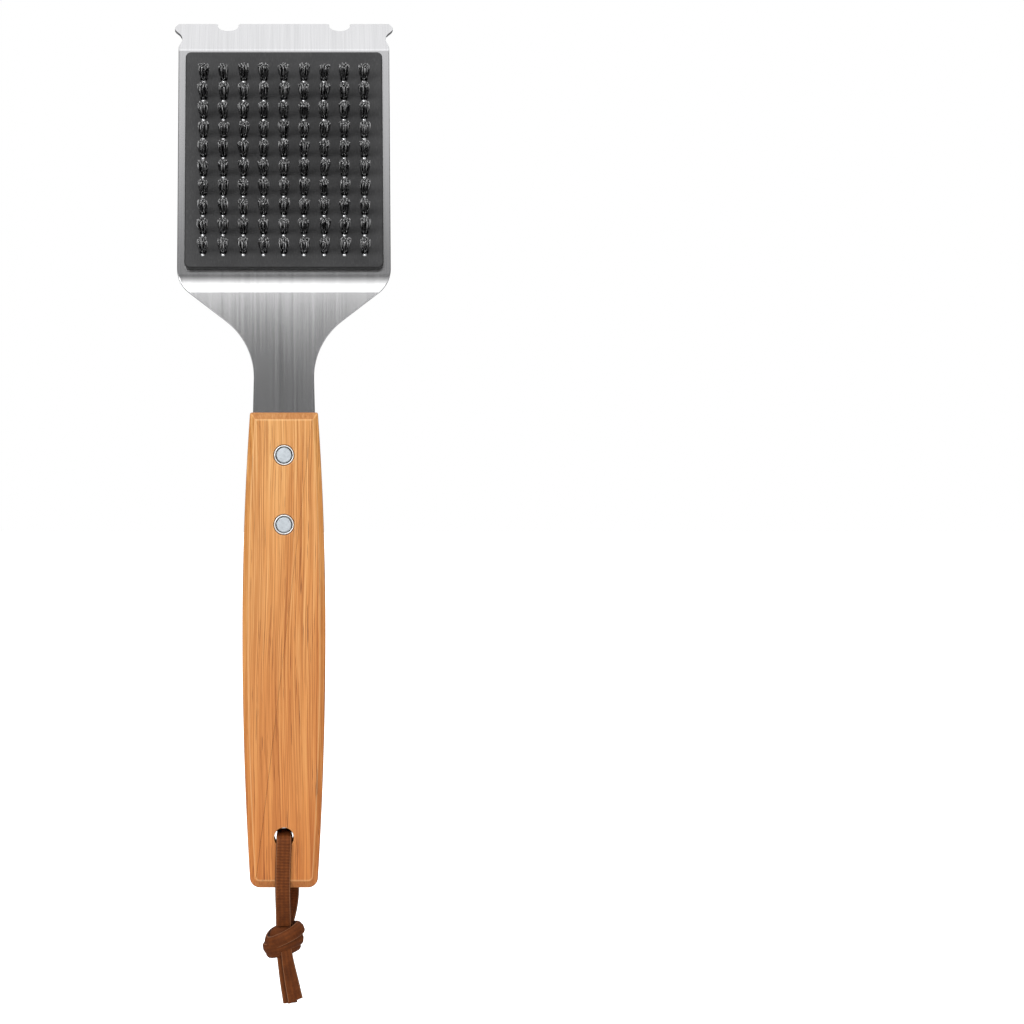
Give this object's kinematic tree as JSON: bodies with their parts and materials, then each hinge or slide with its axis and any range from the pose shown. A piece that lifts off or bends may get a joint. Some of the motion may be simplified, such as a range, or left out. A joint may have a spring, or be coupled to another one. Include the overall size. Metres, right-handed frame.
{
  "type": "grill cleaning brush",
  "caption": "Grill cleaning brush with a bristle block and scraper lip on a formed steel head, a wooden handle and a knotted hanging lace.",
  "frame": {"origin": "middle of the handle's length, width and thickness, where the hand holds it", "axes": "+Z along the handle towards the scraper lip, -Y out of the handle's face on the bristle side, +X to the right when the bristles face the viewer"},
  "size_m": [0.105, 0.0606, 0.4666],
  "materials": {
    "sheet_steel": "stainless sheet, brushed lengthwise",
    "block_plastic": "dark grey, fine moulded texture",
    "bristle_nylon": "glossy black nylon filaments",
    "rivet_steel": "polished steel rivets",
    "handle_wood": "honey-coloured wood, satin",
    "lace_leather": "brown leather lace with a crosswise texture"
  },
  "bodies": {
    "brush": {"blade": "sheet_steel", "brush_block": "block_plastic", "bristle_row_01": "bristle_nylon", "bristle_row_02": "bristle_nylon", "bristle_row_03": "bristle_nylon", "bristle_row_04": "bristle_nylon", "bristle_row_05": "bristle_nylon", "bristle_row_06": "bristle_nylon", "bristle_row_07": "bristle_nylon", "bristle_row_08": "bristle_nylon", "bristle_row_09": "bristle_nylon", "bristle_row_10": "bristle_nylon", "block_rivet_top": "rivet_steel", "block_rivet_left": "rivet_steel", "block_rivet_right": "rivet_steel", "handle": "handle_wood", "handle_rivet_sleeve_upper": "rivet_steel", "handle_rivet_pin_upper": "rivet_steel", "handle_rivet_sleeve_lower": "rivet_steel", "handle_rivet_pin_lower": "rivet_steel"},
    "lanyard": {"lanyard_loop": "lace_leather", "lanyard_knot": "lace_leather", "lanyard_tail_front": "lace_leather", "lanyard_tail_rear": "lace_leather"}
  },
  "joints": [
    {"name": "lanyard_swing", "type": "hinge", "parent": "brush", "child": "lanyard", "pos_m": [0, 0, -0.0875], "axis": [0, 1, 0], "range_deg": [-90, 90]}
  ]
}
